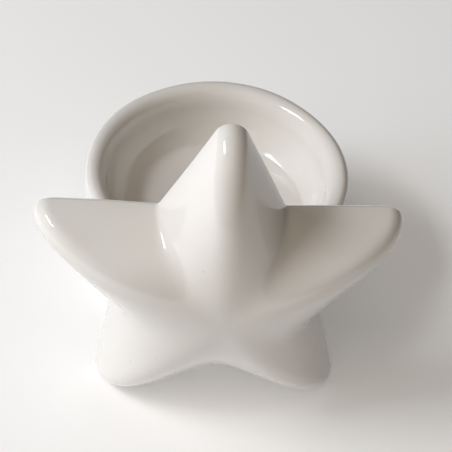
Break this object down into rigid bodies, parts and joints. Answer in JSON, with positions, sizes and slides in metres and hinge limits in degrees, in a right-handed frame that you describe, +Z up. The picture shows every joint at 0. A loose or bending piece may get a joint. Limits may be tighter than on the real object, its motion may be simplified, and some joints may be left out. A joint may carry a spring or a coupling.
{
  "type": "tealight holder",
  "caption": "Glazed ceramic tealight holder: a plump upright star joined to a round tub with a shallow dish for a tealight.",
  "frame": {"origin": "on the table, under the middle of the holder's overall box", "axes": "+Z up; -Y the way the star's face looks; +Y towards the tub; +X to the right seen from the front"},
  "size_m": [0.088, 0.0922, 0.0858],
  "materials": {
    "star_glaze": "glossy warm white glaze",
    "tub_glaze": "glossy warm white glaze, wiped off the base ring",
    "slip": "slip joint smoothed over and glazed"
  },
  "bodies": {
    "root": {"star_front_shell": "star_glaze", "star_back_plate": "star_glaze", "star_seam": "slip", "star_tub_joint": "slip", "tub_bowl": "tub_glaze", "tub_seam": "slip", "tub_outer_wall": "tub_glaze"}
  },
  "joints": []
}
